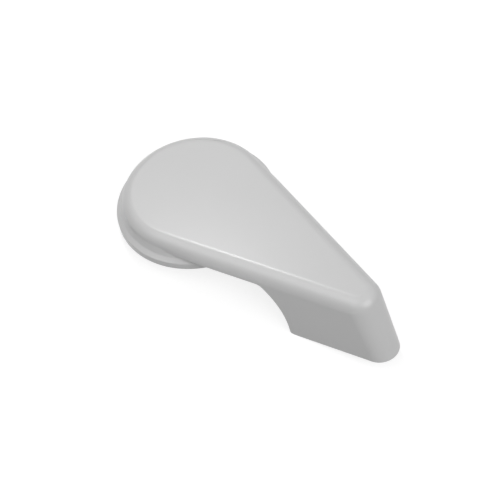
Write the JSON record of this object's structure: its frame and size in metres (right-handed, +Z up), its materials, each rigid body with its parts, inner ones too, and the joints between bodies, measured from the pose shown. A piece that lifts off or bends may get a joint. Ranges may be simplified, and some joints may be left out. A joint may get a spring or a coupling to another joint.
{
  "type": "diverter valve handle",
  "caption": "Push-on teardrop lever handle for a diverter valve: round flanged head with a stem socket beneath, flat top, and a down-turned grip behind a finger arch.",
  "frame": {"origin": "on the valve's axis, level with the bottom face of the flange; this lies in the round mouth of the stem socket", "axes": "+Z up the valve's axis, away from the valve; +X from the valve's axis along the lever to the grip; the handle is the same on both sides of the XZ plane"},
  "size_m": [0.1148, 0.056, 0.0254],
  "materials": {
    "moulded_plastic": "light grey moulded plastic with a satin sheen"
  },
  "bodies": {
    "root": {"handle": "moulded_plastic"}
  },
  "joints": []
}
